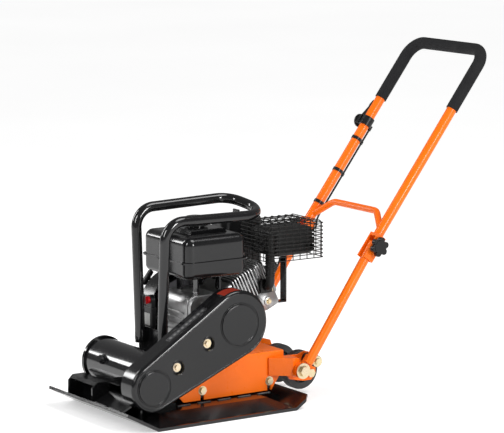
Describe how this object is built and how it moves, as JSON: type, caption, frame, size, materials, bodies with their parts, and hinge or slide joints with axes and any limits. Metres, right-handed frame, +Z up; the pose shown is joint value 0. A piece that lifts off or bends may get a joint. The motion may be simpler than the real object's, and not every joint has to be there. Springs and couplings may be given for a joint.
{
  "type": "plate compactor",
  "caption": "Walk-behind plate compactor: petrol engine on a sprung console over a steel plate, belt-driven exciter, folding loop handle, roll cage and transport wheels.",
  "frame": {"origin": "centre of the flat sole of the base plate, on the ground", "axes": "+Z up; the machine travels towards -Y and the handle trails towards +Y; +X is the operator's left, the belt guard's side"},
  "size_m": [0.424, 1.1758, 0.9144],
  "materials": {
    "black_steel": "satin black paint",
    "black_gloss": "gloss black paint",
    "black_satin": "satin black powder coat",
    "black_heat": "matt black heat-resistant paint",
    "orange_paint": "gloss orange paint",
    "silver_paint": "satin silver paint",
    "zinc": "yellow-passivated zinc",
    "bearing_steel": "ground steel",
    "cast_weight": "as cast",
    "pulley_iron": "machined and oiled",
    "cast_aluminium": "die cast",
    "carb_brass": "brown-stained cast metal",
    "rubber": "matt",
    "wheel_black": "moulded",
    "foam": "fine-grained foam",
    "cable_black": "smooth sheath",
    "black_plastic": "fine texture",
    "red_plastic": "gloss"
  },
  "bodies": {
    "chassis": {"air_cleaner_base": "black_plastic", "air_cleaner_cover": "black_plastic", "base_plate": "black_steel", "belt_guard": "black_satin", "cage_bracket": "black_steel", "carburettor": "carb_brass", "crankcase": "cast_aluminium", "crankcase_cover": "cast_aluminium", "cylinder": "cast_aluminium", "cylinder_head": "cast_aluminium", "deck_cover": "black_steel", "engine_console": "orange_paint", "engine_stays": "black_steel", "exciter_bearings": "bearing_steel", "exciter_end_caps": "black_gloss", "exciter_housing": "black_gloss", "fan_shroud": "black_satin", "front_channel": "black_steel", "fuel_tank": "black_satin", "hex_bolts": "zinc", "muffler": "black_heat", "muffler_guard": "black_heat", "pedestal": "black_steel", "rear_bracket_left": "orange_paint", "rear_bracket_right": "orange_paint", "recoil_cover": "black_satin", "roll_cage": "black_gloss", "rubber_mounts": "rubber", "spark_plug": "rubber", "switch_box": "black_plastic", "throttle_cable_free": "cable_black", "v_belt": "rubber", "valve_cover": "silver_paint", "washer_bolts": "zinc", "wheel_axle": "zinc"},
    "crank_rotor": {"crankshaft": "bearing_steel", "flywheel": "cast_weight", "centrifugal_clutch": "pulley_iron"},
    "exciter_rotor": {"exciter_shaft": "bearing_steel", "eccentric_weight": "cast_weight", "exciter_pulley": "pulley_iron"},
    "lower_handle": {"handle_lower": "orange_paint"},
    "upper_handle": {"handle_upper": "orange_paint", "fold_bolts": "zinc", "foam_grip": "foam", "throttle_clamp": "black_plastic", "throttle_cable_upper": "cable_black", "throttle_cable_fold": "cable_black"},
    "knob_left": {"star_knob_left": "black_plastic"},
    "knob_right": {"star_knob_right": "black_plastic"},
    "hand_throttle": {"throttle_lever": "black_plastic"},
    "carb_arm": {"throttle_arm": "zinc"},
    "left_wheel": {"wheel_left": "wheel_black"},
    "right_wheel": {"wheel_right": "wheel_black"},
    "tank_cap": {"fuel_cap": "black_plastic"},
    "starter_grip": {"recoil_grip": "black_plastic"},
    "engine_switch": {"switch_knob": "red_plastic"},
    "choke": {"choke_lever": "black_plastic"},
    "fuel_tap": {"fuel_lever": "black_plastic"},
    "dipstick": {"oil_dipstick": "black_plastic"}
  },
  "joints": [
    {"name": "crank_spin", "type": "hinge", "parent": "chassis", "child": "crank_rotor", "pos_m": [0, 0.045, 0.243], "axis": [1, 0, 0], "continuous": true},
    {"name": "exciter_spin", "type": "hinge", "parent": "chassis", "child": "exciter_rotor", "pos_m": [0, -0.168, 0.12], "axis": [1, 0, 0], "continuous": true},
    {"name": "handle_tilt", "type": "hinge", "parent": "chassis", "child": "lower_handle", "pos_m": [0, 0.267, 0.088], "axis": [1, 0, 0], "range_deg": [0, 20], "deforming": ["throttle_cable_free"]},
    {"name": "handle_fold", "type": "hinge", "parent": "lower_handle", "child": "upper_handle", "pos_m": [0, 0.48668, 0.40174], "axis": [1, 0, 0], "range_deg": [0, 85], "deforming": ["throttle_cable_fold"]},
    {"name": "star_knob_left_turn", "type": "hinge", "parent": "upper_handle", "child": "knob_left", "pos_m": [0.188, 0.48668, 0.40174], "axis": [1, 0, 0], "continuous": true},
    {"name": "star_knob_right_turn", "type": "hinge", "parent": "upper_handle", "child": "knob_right", "pos_m": [-0.188, 0.48668, 0.40174], "axis": [1, 0, 0], "continuous": true},
    {"name": "throttle_lever_turn", "type": "hinge", "parent": "upper_handle", "child": "hand_throttle", "pos_m": [-0.196, 0.70071, 0.68371], "axis": [1, 0, 0], "range_deg": [0, 70]},
    {"name": "throttle_arm_turn", "type": "hinge", "parent": "chassis", "child": "carb_arm", "pos_m": [-0.1055, 0.238, 0.284], "axis": [1, 0, 0], "range_deg": [0, 20]},
    {"name": "wheel_left_spin", "type": "hinge", "parent": "chassis", "child": "left_wheel", "pos_m": [0.05, 0.328, 0.066], "axis": [1, 0, 0], "continuous": true},
    {"name": "wheel_right_spin", "type": "hinge", "parent": "chassis", "child": "right_wheel", "pos_m": [-0.05, 0.328, 0.066], "axis": [1, 0, 0], "continuous": true},
    {"name": "fuel_cap_turn", "type": "hinge", "parent": "chassis", "child": "tank_cap", "pos_m": [-0.008, 0.042, 0.48], "axis": [0, 0, 1], "continuous": true},
    {"name": "recoil_pull", "type": "slide", "parent": "chassis", "child": "starter_grip", "axis": [0, -0.788, 0.6157], "range_m": [0, 0.3], "stiffness_N_per_m": 20, "springref_m": -0.05},
    {"name": "switch_turn", "type": "hinge", "parent": "chassis", "child": "engine_switch", "pos_m": [-0.057, -0.078, 0.28], "axis": [0, 1, 0], "range_deg": [0, 90]},
    {"name": "choke_turn", "type": "hinge", "parent": "chassis", "child": "choke", "pos_m": [-0.1058, 0.258, 0.29], "axis": [1, 0, 0], "range_deg": [-25, 0]},
    {"name": "fuel_tap_turn", "type": "hinge", "parent": "chassis", "child": "fuel_tap", "pos_m": [-0.1058, 0.262, 0.271], "axis": [1, 0, 0], "range_deg": [0, 60]},
    {"name": "dipstick_turn", "type": "hinge", "parent": "chassis", "child": "dipstick", "pos_m": [0.034, -0.034, 0.172], "axis": [0, -0.8829, 0.4695], "continuous": true}
  ],
  "couplings": [
    {"joint": "exciter_spin", "follows": "crank_spin", "ratio": 1.6169},
    {"joint": "throttle_arm_turn", "follows": "throttle_lever_turn", "ratio": 0.28571}
  ]
}
